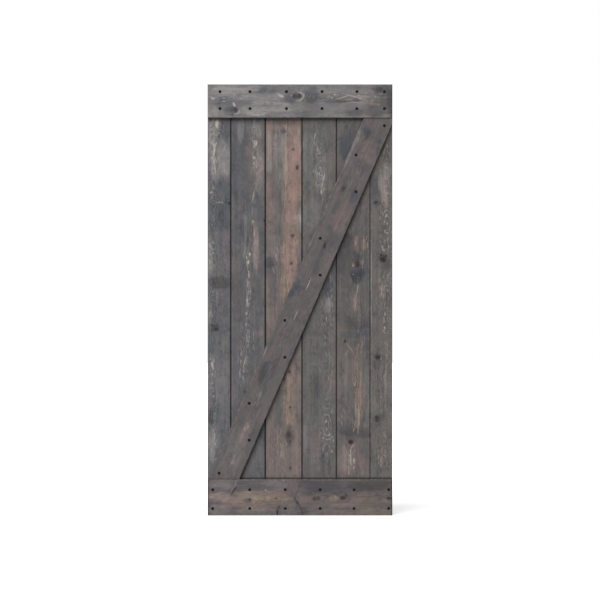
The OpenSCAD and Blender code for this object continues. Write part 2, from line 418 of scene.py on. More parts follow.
def stained_pine(board, stain):
    """Brushed pine under a thin stain. The stain's colour is varied by clouds, by streaks along the
    fibres and by the growth rings, and patches of tan, rose, chalk, green-grey, smoke grey and brown lie
    over it. Late wood takes less stain than early wood, stands proud of it and is smoother. Where the
    stain is rubbed through, cream dashes follow the late wood. Bare spots, cracks, knots, dark stain in
    the seams and painted shade on the side faces, edges and where boards meet come on top."""
    pine = Finish(board["name"] + "_stain")
    mixed, times, total, between, swung = pine.mixed, pine.times, pine.total, pine.between, pine.swung
    knot_shade, pit_shade = (0.070, 0.066, 0.070, 1.0), (0.035, 0.030, 0.030, 1.0)
    stain_and_shade_black, burr_shade = (0.010, 0.009, 0.009, 1.0), (0.012, 0.011, 0.011, 1.0)
    worn_and_lit_corner = (0.33, 0.31, 0.28, 1.0)
    bare_wood = board.get("bare_wood", (0.410, 0.384, 0.355, 1.0))

    broad = pine.streaks(0.018, 0.50, 0.03)
    clouds = pine.streaks(0.050, 0.085, 0.05, detail=4.0, rough=0.55)
    smudges = pine.streaks(0.013, 0.024, 0.02, detail=3.0, rough=0.6)
    mid = pine.streaks(0.0045, 0.070, 0.01, detail=3.0)
    fine = pine.streaks(0.0011, 0.024, 0.002, detail=3.0, rough=0.6)
    flecks = pine.streaks(0.010, 0.024, 0.01, detail=2.0, rough=0.6)
    wander = pine.streaks(0.024, 0.022, 0.02, detail=2.0, rough=0.6)
    planed = pine.streaks(0.060, 0.0042, 0.06, detail=1.0)

    # Within each ring the late wood thickens slowly and stops short.
    wavered = total(pine.read("rings"), swung(wander, board["waver"]), swung(mid, 0.8))
    phase = pine.calc("FRACT", wavered)
    late = times(between(phase, 0.40, 0.85), between(phase, 1.0, 0.93))

    # How light the stain is, as a share of its own colour. Some stretches are busier than others.
    grain = board["grain"]
    busy = between(pine.streaks(0.045, 0.20, 0.05, detail=1.0), 0.38, 0.62, 0.45, 1.45)
    ringed = times(between(clouds, 0.35, 0.62, 0.25, 1.0), swung(late, 0.36 * grain))
    lively = total(swung(smudges, 0.60), swung(mid, 0.50 * grain), swung(fine, 0.50 * grain), ringed)
    tone = total(1.0, swung(broad, 0.50), swung(clouds, 0.75), times(busy, lively))

    # The stain drifts between warmer and cooler, and between a hair more violet and a hair more green.
    red, green, blue = stain[:3]
    warmer, cooler = (red * 1.10, green * 1.01, blue * 0.92, 1.0), (0.082, 0.088, 0.100, 1.0)
    violet, leafy = (1.03, 0.985, 1.03, 1.0), (0.97, 1.015, 0.97, 1.0)
    colour = mixed(between(total(broad, swung(smudges, 0.3)), 0.42, 0.72), stain, warmer)
    drift = between(pine.streaks(0.026, 0.110, 0.03), 0.36, 0.64)
    colour = pine.vector("MULTIPLY", colour, mixed(drift, violet, leafy))
    colour = mixed(times(between(clouds, 0.50, 0.32), 0.38), colour, cooler)

    streaky = total(0.88, swung(broad, 0.8), swung(smudges, 0.6))
    for patch, tint in (
        ("tan", (0.305, 0.218, 0.155, 1.0)),
        ("rose", (0.310, 0.200, 0.182, 1.0)),
        ("pale", (0.300, 0.285, 0.278, 1.0)),
        ("ash", (0.118, 0.121, 0.110, 1.0)),
        ("smoke", (0.058, 0.068, 0.086, 1.0)),
        ("umber", (0.045, 0.037, 0.037, 1.0)),
    ):
        colour = mixed(times(pine.read(patch), streaky, clamp=True), colour, tint)
    colour = mixed(times(pine.read("halo"), 0.4), colour, knot_shade)
    colour = pine.vector("SCALE", colour)
    pine.feed([colour.node.inputs["Scale"]], tone)

    # Rubbed-through fibres follow the crest of each ring and break up along it. Where the board is worn
    # through to cream, they follow every third ring. Its corners are rubbed pale too, which also paints a
    # highlight along them, and its pits are dark.
    crest = times(between(phase, 0.62, 0.80), between(phase, 1.0, 0.95))
    third = pine.calc("FRACT", pine.calc("DIVIDE", wavered, 3.0))
    strong_crest = times(between(third, 0.62, 0.80), between(third, 1.0, 0.94))
    worn = total(times(crest, 0.8 * board["rubbed"]), times(strong_crest, pine.read("cream")))
    worn = times(worn, between(flecks, 0.40, 0.60, 0.0, 0.75), clamp=True)
    colour = mixed(worn, colour, bare_wood)
    corner = times(pine.read("rubbed_and_lit_edge"), between(flecks, 0.50, 0.66, 0.08, 0.5))
    colour = mixed(corner, colour, worn_and_lit_corner)
    pits = between(pine.streaks(0.0032, 0.0075, 0.004, detail=1.0), 0.66, 0.74)
    colour = mixed(times(pits, 0.55), colour, pit_shade)

    coarse_rough, fine_rough = pine.streaks(0.008, 0.008, 0.008), pine.streaks(0.0025, 0.0025, 0.0025)
    wobble = total(swung(coarse_rough, 0.9), swung(fine_rough, 0.5))
    colour = add_strokes(pine, board, wobble, colour, bare_wood)
    colour, knot = add_knots(pine, board, wobble, smudges, colour, stain)
    # Dark stain in the seams, and painted shade on the side faces, the door's outer edges and beside the
    # boards that meet this one.
    colour = mixed(pine.read("stain_and_shade"), colour, stain_and_shade_black)
    if board["screwed"]:
        from_screw = total(pine.read("from_screw"), swung(smudges, 0.002))
        burr = between(from_screw, mouth + 0.0012, mouth - 0.0002)
        colour = mixed(burr, colour, burr_shade)

    rough = total(0.80, times(late, -0.12), swung(fine, 0.2), times(knot, -0.2))
    height = total(
        times(late, 0.6), times(fine, 0.7), times(mid, 0.5), times(planed, 0.25), times(pits, -0.8),
        times(knot, 0.3),
    )
    bump = pine.node("ShaderNodeBump")
    sockets = [bump.inputs[name] for name in ("Strength", "Distance", "Height")]
    pine.feed(sockets, 0.6, 0.0006, height)
    pine.coat(Base_Color=colour, Roughness=rough, Specular_IOR_Level=0.3, Normal=bump.outputs[0])
    return pine.material


def finish_board(piece, used, board, across, depth, along, stain):
    """Gives a board its grain and its material, and puts it in the place of its CAD node."""
    flat = [np.broadcast_to(values, board["shape"]).reshape(-1)[used] for values in (across, depth, along)]
    figure(piece, board, *flat)
    piece.data.materials.append(stained_pine(board, stain))
    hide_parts(board["name"])
    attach(piece, "root")


def relief(board, across, along):
    """How far the planed face lies below true: some tenths of a millimetre, in a long and a fine wave."""
    wave = cloud(board["seed"] + 50, across / 0.05, along / 0.6)
    fine = cloud(board["seed"] + 51, across / 0.009, along / 0.12)
    return 0.00022 + 0.00012 * wave + 0.00006 * fine


seams = [door_left]
for number in range(1, plank_count):
    seams.append(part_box(f"plank_{number}")[1].x - tongue_reach)
seams.append(door_right)


def plank(number, stain, **grown):
    """A plank between two seams, as a lattice: lines across the section, levels through its thickness, and
    stations along it. The groove's cells are empty, and past the right edge only the tongue's are solid.
    Lattice points are moved to round the corners and to leave the tongue its clearance."""
    name = f"plank_{number}"
    grooved, tongued = number > 1, number < plank_count
    left_seam, right_seam = seams[number - 1:number + 1]
    body_left = left_seam + (front_gap / 2 if grooved else 0.0)
    body_right = right_seam - (front_gap / 2 if tongued else 0.0)
    groove_end = left_seam + tongue_reach + groove_relief
    marks = [body_left, body_left + 2 * ease, groove_end, body_right - 2 * ease, body_right]
    lines = spaced(marks, face_step)
    tip = right_seam + tongue_reach
    body_lines = len(lines)
    lines = np.append(lines, [tip - tongue_ease, tip]) if tongued else lines
    tongue_front, tongue_back = (plank_t - tongue_t) / 2, (plank_t + tongue_t) / 2
    levels = np.array([0, ease_turn * ease, ease, tongue_front, tongue_back, plank_t - ease,
                       plank_t - ease_turn * ease, plank_t])
    stations = spaced([0.0, door_top - door_bottom], grain_step)
    shape = (len(lines), len(levels), len(stations))

    across = np.repeat(lines[:, None], len(levels), axis=1)
    depth = np.repeat(levels[None, :], len(lines), axis=0)
    groove = 3  # the level at which the tongue and the groove start
    inset = np.array([ease, ease_turn * ease, 0, 0, 0, 0, ease_turn * ease, ease])
    shift = (front_gap - back_gap) / 2 * (np.arange(len(levels)) > groove)
    across[0] += inset - (shift if grooved else 0)
    across[body_lines - 1] -= inset - (shift if tongued else 0)
    middle = len(lines) // 2
    if grooved:
        depth[:middle, groove] -= groove_fit
        depth[:middle, groove + 1] += groove_fit
    if tongued:
        depth[-1, groove] += tongue_ease
        depth[-1, groove + 1] -= tongue_ease

    wood = np.ones((shape[0] - 1, shape[1] - 1, shape[2] - 1), bool)
    if grooved:
        rounding = 1e-9  # so that the cells that stop at the groove's end are counted in
        wood[lines[1:] < groove_end + rounding, groove] = False
    if tongued:
        wood[body_lines - 1:] = False
        wood[body_lines - 1:, groove] = True

    across, depth, along = across[:, :, None], depth[:, :, None], stations[None, None, :]
    # The seams' faces and the door's side faces are painted dark as shade, and so is the planks' front just
    # above the bottom rail.
    board = dict(name=name, corner=(0.0, door_bottom), lean=0.0, front=seat_y, shape=shape,
                 span=(body_left, body_right), screwed=False,
                 side_shade=(0.9 if grooved else 0.3, 0.9 if tongued else 0.3),
                 joints=[("z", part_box("bottom_rail")[1].z, 0.015, 0.75)], **grown)
    heart_line, *heart = board["heart"]
    board["heart"] = ([door_left + x for x in heart_line], *heart)
    sunk = relief(board, across, along)
    faces = np.array([1, 1, 0, 0, 0, 0, -1, -1])[None, :, None]
    piece, used = skin(name, to_door(board, across, depth + sunk * faces, along), wood)
    finish_board(piece, used, board, across, depth, along, stain)


# What each board is given. ring: the width of a growth ring. heart: where the tree's heart lies, as its
# places across the two ends of the board, its depth, how much deeper it is at the far end, and how far it
# wanders. waver, rubbed and grain: how wavy the rings, how worn their crests and how busy the streaks are.
# rims: how dark the two long edges are, with dark stain and painted shade at a seam and
# painted shade at the door's outer edge, and one under a half is also rubbed pale, which also paints a
# highlight on its arris. joints: painted shade where other boards meet it or at the door's edge, each
# with its axis, place, reach and strength. ruddy: how much green and blue a knot keeps. bare_wood: the
# colour of worn spots. Every mark after that is (place from the door's left side, place from its bottom,
# half width across the board, half length along it, strength), in millimetres and hundredths. A knot with
# a pale crescent has the way towards it, across and along the board. A bare spot or a crack may have a
# clockwise lean in degrees. An eye is a knot's rings without the knot, so it has no strength.
plank(
    1, shown(100, 100, 104), seed=11, ring=0.0042,
    heart=((0.034, 0.030), 0.012, 0.020, 0.011), waver=2.2, rubbed=0.24, grain=1.1, rims=(0.65, 0.75),
    bare_wood=(0.470, 0.448, 0.405, 1.0),
    knots=[(107, 1548, 6, 7, 100), (41, 926, 14, 14, 85)],
    eyes=[(44, 1938, 14, 36)],
    smoke=[(94, 1905, 26, 62, 45), (70, 1498, 52, 88, 60), (68, 1625, 40, 45, 50), (30, 500, 30, 55, 35),
           (22, 865, 18, 40, 40), (75, 925, 34, 50, 25)],
    tan=[(44, 1940, 16, 34, 50)],
    rose=[(85, 1290, 26, 100, 20)],
    pale=[(28, 1885, 28, 80, 80), (82, 1765, 30, 90, 60), (34, 1770, 26, 110, 55), (12, 1290, 14, 100, 30),
          (46, 1070, 6, 40, 30), (12, 1010, 10, 60, 35), (22, 700, 20, 90, 35), (24, 345, 18, 75, 50),
          (70, 660, 40, 110, 15)],
    umber=[(43, 1912, 24, 52, 40), (36, 928, 24, 20, 75), (13, 480, 14, 40, 70), (68, 1152, 52, 30, 60),
           (66, 1030, 45, 70, 15)],
    cream=[(44, 1920, 32, 70, 60), (30, 1780, 22, 110, 50), (12, 600, 10, 80, 60), (14, 1290, 14, 110, 60),
           (10, 1010, 10, 70, 50), (22, 700, 22, 95, 90), (24, 345, 20, 80, 70)],
    bare=[(45, 1940, 9, 22, 100), (45, 1885, 3, 10, 50, 80), (33, 1893, 2, 10, 40, -30),
          (22, 1772, 4, 7, 70), (25, 1838, 4, 16, 60, -35), (38, 1836, 4, 16, 60, 30),
          (31, 1800, 5, 28, 70, 6), (30, 1752, 4, 26, 60, -12), (38, 1712, 3, 24, 40, -8),
          (55, 1551, 5, 22, 25, 84), (73, 1549, 4, 5, 60), (18, 1600, 8, 6, 50)],
    crack=[(55, 1045, 3, 5, 60), (22, 942, 6, 14, 50, -55), (56, 548, 2, 8, 60, 45),
           (42, 539, 2, 10, 40, 60), (105, 1548, 6, 5, 100), (86, 1550, 3, 16, 40, 85)],
)
plank(
    2, shown(97, 96, 99), seed=23, ring=0.0044,
    heart=((0.170, 0.238), 0.012, 0.016, 0.010), waver=2.0, rubbed=0.16, grain=1.0, rims=(0.75, 0.95),
    bare_wood=(0.450, 0.425, 0.385, 1.0),
    knots=[(284, 1461, 7, 8, 100), (183, 613, 6, 7, 70)],
    smoke=[(150, 1740, 36, 220, 30), (150, 1760, 30, 190, 20), (190, 1885, 12, 55, 35),
           (222, 1530, 20, 16, 50), (262, 1500, 20, 40, 40), (150, 1430, 34, 90, 20),
           (280, 402, 22, 38, 80)],
    tan=[(232, 1415, 6, 50, 50), (235, 1760, 44, 150, 15), (240, 1320, 20, 90, 15)],
    rose=[(238, 1325, 17, 100, 40), (250, 1720, 14, 80, 35), (250, 905, 28, 22, 30),
          (160, 1890, 12, 45, 12)],
    pale=[(238, 1330, 16, 100, 40), (252, 1720, 24, 110, 30), (236, 1890, 22, 60, 35),
          (176, 1320, 12, 40, 35), (188, 1430, 8, 70, 30), (165, 710, 24, 80, 10), (163, 1895, 14, 70, 40)],
    umber=[(232, 1870, 12, 20, 30), (224, 1650, 20, 40, 30), (198, 1360, 4, 24, 70),
           (248, 1080, 34, 100, 15), (152, 1100, 34, 120, 22)],
    cream=[(235, 1800, 20, 160, 60), (200, 1130, 12, 190, 50), (172, 720, 20, 90, 75),
           (215, 860, 20, 60, 50)],
    bare=[(231, 1847, 3, 10, 60, -30), (242, 1842, 4, 13, 90, 20), (229, 1772, 8, 6, 70),
          (226, 1585, 3, 34, 50, 10), (223, 1455, 6, 10, 45), (208, 1294, 5, 11, 85),
          (192, 1278, 4, 12, 50), (201, 1254, 6, 10, 90), (203, 1187, 3, 10, 50), (199, 1150, 3, 12, 50),
          (196, 1060, 4, 18, 45), (192, 1000, 5, 9, 60), (189, 945, 4, 7, 50), (231, 1400, 3, 16, 50),
          (184, 764, 3, 36, 40, 18)],
    crack=[(282, 1461, 7, 7, 100)],
)
plank(
    3, shown(112, 104, 102), seed=37, ring=0.0050,
    heart=((0.372, 0.372), 0.034, 0.020, 0.008), waver=1.2, rubbed=0.06, grain=0.8, rims=(0.95, 0.70),
    ruddy=0.75,
    knots=[(423, 1813, 7, 7, 70), (443, 1724, 8, 12, 80), (405, 1555, 4, 6, 50), (420, 1384, 9, 11, 70),
           (414, 1248, 6, 8, 70), (405, 711, 7, 8, 60), (408, 535, 6, 8, 70), (402, 405, 12, 20, 55),
           (410, 366, 5, 6, 60), (409, 235, 6, 9, 70)],
    smoke=[(375, 1903, 13, 10, 75), (306, 1248, 22, 28, 80), (310, 1200, 24, 90, 35),
           (350, 520, 18, 90, 40), (402, 405, 16, 36, 40)],
    tan=[(425, 1640, 36, 240, 55), (412, 1300, 36, 210, 45), (385, 1300, 22, 80, 50),
         (388, 1770, 7, 140, 100), (450, 1390, 10, 60, 80), (385, 1130, 30, 60, 50),
         (405, 560, 24, 130, 60)],
    rose=[(303, 1840, 22, 120, 60), (400, 1935, 75, 30, 30), (452, 1870, 10, 80, 60),
          (428, 1690, 34, 220, 80), (415, 1482, 28, 36, 130), (405, 1270, 32, 160, 70),
          (340, 960, 34, 120, 5), (330, 330, 40, 110, 8), (440, 320, 22, 130, 20), (425, 690, 30, 60, 40),
          (300, 1580, 20, 120, 30)],
    pale=[(303, 1800, 16, 110, 40), (350, 1795, 30, 110, 50), (425, 1482, 24, 36, 15),
          (447, 1860, 8, 50, 40), (330, 1330, 30, 60, 15), (390, 1780, 4, 110, 60), (452, 1465, 12, 45, 70),
          (343, 1300, 4, 40, 40)],
    umber=[(402, 395, 12, 50, 45), (380, 1948, 90, 14, 35)],
    cream=[(300, 1560, 14, 30, 40)],
    ash=[(352, 1640, 22, 230, 45), (350, 1400, 16, 80, 50), (450, 1400, 6, 60, 50),
         (355, 530, 22, 110, 50)],
    bare=[(391, 352, 3, 12, 35), (457, 1470, 3, 30, 40), (338, 1280, 3, 30, 30, -14),
          (325, 1215, 3, 24, 25, -20)],
)
plank(
    4, shown(98, 96, 96), seed=41, ring=0.0044,
    heart=((0.600, 0.545), 0.012, 0.016, 0.011), waver=2.4, rubbed=0.14, grain=0.9, rims=(0.70, 0.55),
    eyes=[(590, 440, 20, 60), (560, 1690, 16, 50)],
    smoke=[(600, 1120, 24, 44, 70), (605, 1850, 24, 60, 20)],
    rose=[(530, 360, 40, 90, 12), (605, 660, 16, 50, 20)],
    pale=[(495, 1780, 28, 130, 30), (560, 1840, 44, 80, 12), (560, 1700, 30, 90, 30),
          (598, 1040, 16, 40, 35), (515, 1490, 44, 70, 22), (485, 380, 10, 80, 30)],
    umber=[(572, 260, 6, 60, 40), (602, 240, 6, 50, 50), (540, 640, 30, 60, 20)],
    cream=[(545, 1800, 20, 120, 50), (566, 1660, 18, 70, 70), (592, 440, 28, 130, 65),
           (530, 740, 40, 30, 25), (610, 1040, 14, 170, 50), (600, 740, 20, 70, 40),
           (520, 275, 30, 20, 25)],
    ash=[(490, 1700, 22, 240, 40), (500, 700, 30, 110, 30)],
    bare=[(531, 1880, 4, 20, 50, 14), (528, 1845, 3, 16, 40, -20), (541, 1790, 3, 14, 30, 30),
          (556, 1722, 7, 6, 50), (535, 1700, 3, 12, 50, -25), (553, 1690, 3, 16, 50, -60),
          (574, 1672, 5, 18, 60, 15), (568, 1640, 4, 20, 40, 10), (563, 1600, 5, 14, 60, -14),
          (602, 397, 3, 12, 50, 75), (616, 316, 4, 8, 60), (588, 975, 3, 12, 50)],
    crack=[(527, 1922, 3, 8, 50), (522, 1690, 3, 10, 50), (523, 1623, 4, 6, 40), (523, 1448, 3, 5, 50)],
)
plank(
    5, shown(98, 94, 94), seed=59, ring=0.0046,
    heart=((0.738, 0.738), 0.027, 0.006, 0.010), waver=1.6, rubbed=0.10, grain=1.0, rims=(0.55, 0.35),
    ruddy=0.55, bare_wood=(0.410, 0.365, 0.290, 1.0),
    knots=[(742, 1244, 9, 18, 60), (679, 864, 7, 9, 70), (708, 362, 12, 12, 85)],
    smoke=[(672, 1290, 34, 70, 40), (682, 1830, 34, 85, 80), (740, 1200, 34, 28, 130),
           (740, 1176, 26, 26, 120), (736, 1290, 16, 22, 60), (700, 1240, 60, 70, 25),
           (785, 1230, 16, 80, 40), (700, 890, 36, 24, 50), (745, 915, 50, 36, 50), (785, 955, 30, 36, 50),
           (790, 820, 14, 50, 50), (680, 440, 40, 30, 40), (795, 700, 10, 90, 15)],
    tan=[(745, 540, 12, 100, 30), (740, 740, 12, 70, 20), (732, 1055, 8, 40, 30), (735, 1350, 10, 36, 40),
         (776, 1345, 8, 30, 40), (745, 620, 24, 170, 30)],
    rose=[(718, 346, 12, 14, 60), (735, 1350, 12, 40, 70), (732, 1055, 9, 42, 50), (700, 265, 60, 85, 35),
          (722, 1242, 8, 12, 90), (762, 1250, 10, 12, 50), (760, 560, 20, 100, 20)],
    pale=[(790, 620, 14, 140, 18), (675, 640, 28, 140, 12), (690, 270, 40, 60, 20), (732, 1040, 7, 26, 20)],
    # One umber patch, at 688, 1365 beside the brace, is the brace's painted shadow.
    umber=[(740, 1255, 18, 32, 70), (730, 408, 80, 24, 50), (700, 1310, 60, 60, 30),
           (680, 1250, 40, 60, 35), (730, 950, 60, 30, 35), (735, 830, 60, 30, 15), (740, 1188, 30, 36, 60),
           (688, 1365, 34, 34, 65), (775, 1075, 26, 70, 20)],
    cream=[(745, 620, 20, 170, 50), (785, 1345, 20, 30, 70), (710, 285, 20, 70, 100),
           (760, 830, 14, 30, 40), (660, 470, 16, 30, 50)],
    ash=[(780, 1095, 24, 80, 50), (670, 1090, 26, 100, 12)],
    bare=[(708, 285, 4, 45, 70), (704, 830, 5, 30, 25, -35), (744, 836, 5, 22, 20, 28),
          (688, 806, 4, 20, 20, 35), (733, 1350, 4, 16, 35), (741, 1120, 3, 36, 45, 8),
          (725, 1068, 3, 14, 30, -30), (721, 1236, 5, 5, 35), (742, 1304, 6, 4, 20), (655, 1110, 2, 50, 25),
          (720, 1194, 6, 3, 30), (748, 500, 5, 50, 40), (724, 425, 4, 16, 40, 20), (741, 730, 3, 40, 20)],
)
plank(
    6, shown(102, 98, 96), seed=67, ring=0.0040,
    heart=((0.868, 0.895), 0.012, 0.016, 0.012), waver=2.4, rubbed=0.26, grain=1.2, rims=(0.35, 0.80),
    knots=[(832, 1548, 10, 9, 80), (868, 1274, 14, 16, 100), (842, 782, 13, 13, 85), (838, 478, 12, 16, 85),
           (911, 545, 4, 9, 90)],
    eyes=[(888, 1440, 22, 75)],
    smoke=[(870, 1312, 16, 14, 50), (826, 1630, 16, 60, 60), (838, 1550, 18, 14, 60),
           (852, 1340, 24, 36, 30), (862, 1280, 26, 30, 60), (858, 485, 22, 20, 60),
           (845, 785, 24, 20, 45)],
    tan=[(853, 280, 12, 30, 30)],
    rose=[(875, 1620, 22, 80, 45), (868, 1112, 12, 34, 40)],
    pale=[(878, 1640, 26, 95, 50), (868, 1105, 12, 24, 10), (880, 620, 6, 80, 30)],
    # The umber patch at 888, 1795, beside the brace, is the brace's painted shadow.
    umber=[(885, 1245, 24, 30, 40), (888, 1795, 22, 60, 30)],
    cream=[(886, 1440, 20, 80, 100), (868, 1150, 20, 60, 70), (874, 945, 12, 50, 90),
           (880, 1800, 20, 60, 50), (876, 650, 14, 90, 60), (855, 280, 14, 50, 70),
           (880, 1345, 20, 30, 60)],
    bare=[(867, 1280, 3, 4, 40), (810, 1200, 3, 160, 40), (810, 1000, 3, 70, 35), (809, 610, 2, 60, 30),
          (858, 777, 3, 6, 60), (857, 1122, 5, 14, 25, -30), (874, 1128, 4, 18, 30, 30),
          (870, 1088, 5, 14, 20), (873, 970, 3, 20, 50)],
    crack=[(871, 1264, 12, 9, 100), (859, 1270, 6, 14, 100, -30), (880, 1280, 6, 14, 100, 30),
           (858, 1290, 5, 8, 90, 20), (835, 1552, 5, 5, 70), (833, 490, 3, 8, 50, 20)],
)


# ---------------------------------------------------------------------------------------------------------
# Top rail: a wide flat board of the same stained pine, laid across the planks' fronts. Twelve black screws
# hold it, two to a plank, in countersunk holes. Its long edges are rounded and its ends sawn square.

rail_t = seat_y - front_y
screw_shank, screw_head = 0.006, 0.012  # diameters
head_rim, head_sink, bore_fit = 0.0004, 0.0005, 0.00015
rim_ring, free_ring = 3, 6  # lattice rings round a screw: the hole's edge, and the first undisturbed one
shear_reach = 0.25  # how far from a sawn end the stations still follow its cut
bore = screw_shank / 2 + bore_fit
cone_depth = head_sink + head_rim + (screw_head - screw_shank) / 2  # from the face to the cone's foot
mouth = bore + cone_depth


def screw_places(prefix, count):
    """Where a board's screws are on the door, from its left side and from its bottom edge."""
    boxes = [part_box(f"{prefix}_{n:02d}") for n in range(1, count + 1)]
    return [((low.x + high.x) / 2 - door_left, (low.z + high.z) / 2 - door_bottom) for low, high in boxes]


def open_hole(lattice, wood, levels, place):
    """Opens a countersunk hole through a lattice of (across, along) points. Those round the screw lie on
    square rings. Each ring is bent to a circle: the hole's own edge at rim_ring, wider from ring to ring,
    and blended into the undisturbed lattice at free_ring. The hole narrows at 45 degrees to its bore."""
    across, along = lattice
    row = np.abs(across[:, 0, 0] - place[0]).argmin()
    column = np.abs(along[row, 0, :] - place[1]).argmin()
    rows, columns = (slice(max(c - free_ring, 0), c + free_ring + 1) for c in (row, column))
    row_steps = np.arange(across.shape[0])[rows] - row
    column_steps = np.arange(along.shape[2])[columns] - column
    di, dk = np.meshgrid(row_steps, column_steps, indexing="ij")
    square = np.maximum(np.abs(di), np.abs(dk))
    wide = np.abs(di) >= np.abs(dk)
    turn = np.where(
        wide,
        dk / np.where(wide & (di != 0), di, 1) * math.pi / 4 + math.pi * (di < 0),
        math.pi / 2 - di / np.where(wide, 1, dk) * math.pi / 4 + math.pi * (dk < 0),
    )[:, None, :]
    out = np.clip((square - rim_ring) / (free_ring - rim_ring), 0, 1)[:, None, :]
    edge = np.maximum(mouth - levels, bore)[None, :, None]
    radius = edge + (free_ring * face_step - edge) * out
    across[rows, :, columns] += (1 - out) * (place[0] + radius * np.cos(turn) - across[rows, :, columns])
    along[rows, :, columns] += (1 - out) * (place[1] + radius * np.sin(turn) - along[rows, :, columns])
    wood[row - rim_ring:row + rim_ring, :, column - rim_ring:column + rim_ring] = False


def bar(name, lean, corner, width, starts, ends, screws, stain, marks=(), step=face_step, **grown):
    """A rail or the brace, as a lattice: lines across, levels from the face to the seat, and stations
    along. starts and ends give where the board is sawn off at each line across it. Stations near an end
    are sheared to its cut, less and less over shear_reach. Every hole has its own line and station."""
    # A rail's and the brace's side faces are painted dark as shade.
    board = dict(name=name, corner=corner, lean=lean, front=front_y, span=(0.0, width), screwed=True,
                 side_shade=(0.55, 0.55), **grown)
    holes = [to_board(board, place) for place in screws]
    rows = sorted({round(a, 6) for a, _ in holes} | {0.0, 2 * ease, width - 2 * ease, width, *marks})
    lines = spaced(rows, face_step)
    levels = np.array([0, ease_turn * ease, ease, cone_depth, rail_t])
    low, high = starts(lines), ends(lines)
    fullest = (low.min(), high.max())

    def sheared(station, low, high):
        near_low = np.clip(1 - (station - fullest[0]) / shear_reach, 0, 1)
        near_high = np.clip(1 - (fullest[1] - station) / shear_reach, 0, 1)
        return station + near_low * (low - fullest[0]) + near_high * (high - fullest[1])

    trial = np.linspace(*fullest, 4000)  # stations to try, for the one that shearing brings to each hole
    stops = []
    for a, b in holes:
        line = np.array([a])
        stops.append(np.interp(b, sheared(trial, starts(line), ends(line)), trial))
    stations = spaced([fullest[0], *sorted(stops), fullest[1]], step)
    shape = board["shape"] = (len(lines), len(levels), len(stations))
    across = np.broadcast_to(lines[:, None, None], shape).copy()
    along = sheared(stations[None, None, :], low[:, None, None], high[:, None, None])
    along = np.broadcast_to(along, shape).copy()
    wood = np.ones((shape[0] - 1, shape[1] - 1, shape[2] - 1), bool)
    for hole in holes:
        open_hole((across, along), wood, levels, hole)
    inset = np.array([ease, ease_turn * ease, 0, 0, 0])[:, None]
    across[0] += inset
    across[-1] -= inset
    depth = np.broadcast_to(levels[None, :, None], shape)
    sunk = relief(board, across, along) * np.array([1, 1, 0, 0, 0])[None, :, None]
    piece, used = skin(name, to_door(board, across, depth + sunk, along), wood)
    finish_board(piece, used, board, across, depth, along, stain)
    flat_across, flat_along = (v.reshape(-1)[used] for v in (across, along))
    away = [np.hypot(flat_across - a, flat_along - b) for a, b in holes]
    put(piece, "from_screw", np.minimum.reduce(away))


def rail_starts(across):
    """A rail is sawn square at the door's left side."""
    return 0 * across


def rail_ends(across):
    """A rail is sawn square at the door's right side."""
    return 0 * across + (door_right - door_left)


top_rail_h = door_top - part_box("top_rail")[0].z
bar(
    "top_rail", math.pi / 2, (door_left, door_top), top_rail_h, rail_starts, rail_ends,
    screw_places("top_rail_screw", 12), shown(117, 116, 118), seed=71, ring=0.0046,
    heart=((0.070, 0.066), 0.022, 0.006, 0.010), waver=1.2, rubbed=0.05, grain=0.6, rims=(0.15, 0.30),
    # The rail's right end, at the door's edge, is painted dark as shade.
    joints=[("x", door_right, 0.008, 0.8)], ruddy=1.05, bare_wood=(0.430, 0.422, 0.410, 1.0),
    knots=[(441, 2076, 15, 23, 90, (0.0, 1.0)), (130, 2008, 15, 18, 85), (852, 2108, 13, 20, 50)],
    smoke=[(88, 2046, 20, 45, 40), (165, 2046, 12, 60, 35), (275, 2108, 18, 24, 45),
           (402, 2062, 24, 26, 50), (515, 2085, 42, 34, 40), (110, 2010, 14, 30, 50),
           (735, 1995, 18, 40, 45), (900, 2060, 60, 16, 50)],
    tan=[(750, 2070, 8, 20, 20), (810, 2045, 14, 50, 30), (650, 2010, 30, 60, 10), (690, 2072, 14, 60, 20)],
    rose=[(350, 2020, 22, 45, 15), (756, 2070, 16, 34, 12), (800, 2090, 40, 50, 12),
          (780, 2000, 24, 60, 15)],
    pale=[(120, 2107, 26, 120, 95), (30, 2000, 26, 40, 65), (250, 2005, 26, 90, 85),
          (200, 2065, 10, 80, 40), (340, 2075, 16, 40, 40), (590, 2107, 22, 60, 30),
          (754, 2070, 14, 22, 30), (770, 2090, 24, 50, 12), (350, 2022, 24, 50, 50),
          (240, 2040, 26, 60, 40), (30, 2100, 30, 50, 40)],
    umber=[(735, 2056, 10, 24, 60), (675, 2048, 4, 40, 80), (885, 2050, 85, 55, 60),
           (850, 2108, 20, 34, 60), (510, 2050, 70, 40, 25), (700, 2068, 22, 90, 12),
           (740, 2010, 30, 60, 20), (825, 2002, 30, 50, 55), (500, 1990, 20, 40, 20)],
    cream=[(690, 2070, 20, 80, 10), (150, 2075, 20, 120, 30)],
    bare=[(629, 2083, 4, 5, 90), (616, 2068, 6, 4, 60), (755, 2064, 5, 8, 50, 20),
          (746, 2078, 4, 8, 40, -20), (829, 2072, 6, 6, 30), (858, 2086, 5, 10, 25, -40),
          (730, 2046, 3, 70, 30), (26, 2064, 5, 11, 90, 15), (80, 2050, 3, 10, 50), (78, 2066, 4, 10, 40),
          (166, 2064, 4, 9, 35), (415, 2080, 5, 6, 30), (352, 2086, 3, 12, 50, 35),
          (364, 2076, 6, 14, 90, 20), (131, 2034, 6, 12, 100, 65), (143, 1988, 3, 16, 60, -20),
          (155, 2000, 3, 10, 50, -60), (664, 2068, 3, 40, 50, -17), (712, 2076, 3, 56, 50, 15),
          (640, 2083, 2, 16, 30, 0), (700, 2060, 2, 30, 30, -6)],
)


# ---------------------------------------------------------------------------------------------------------
# Bottom rail: the widest board, fixed like the top rail. It is warmer, with a tan band of heartwood
# running through it under a smoke-grey upper edge.

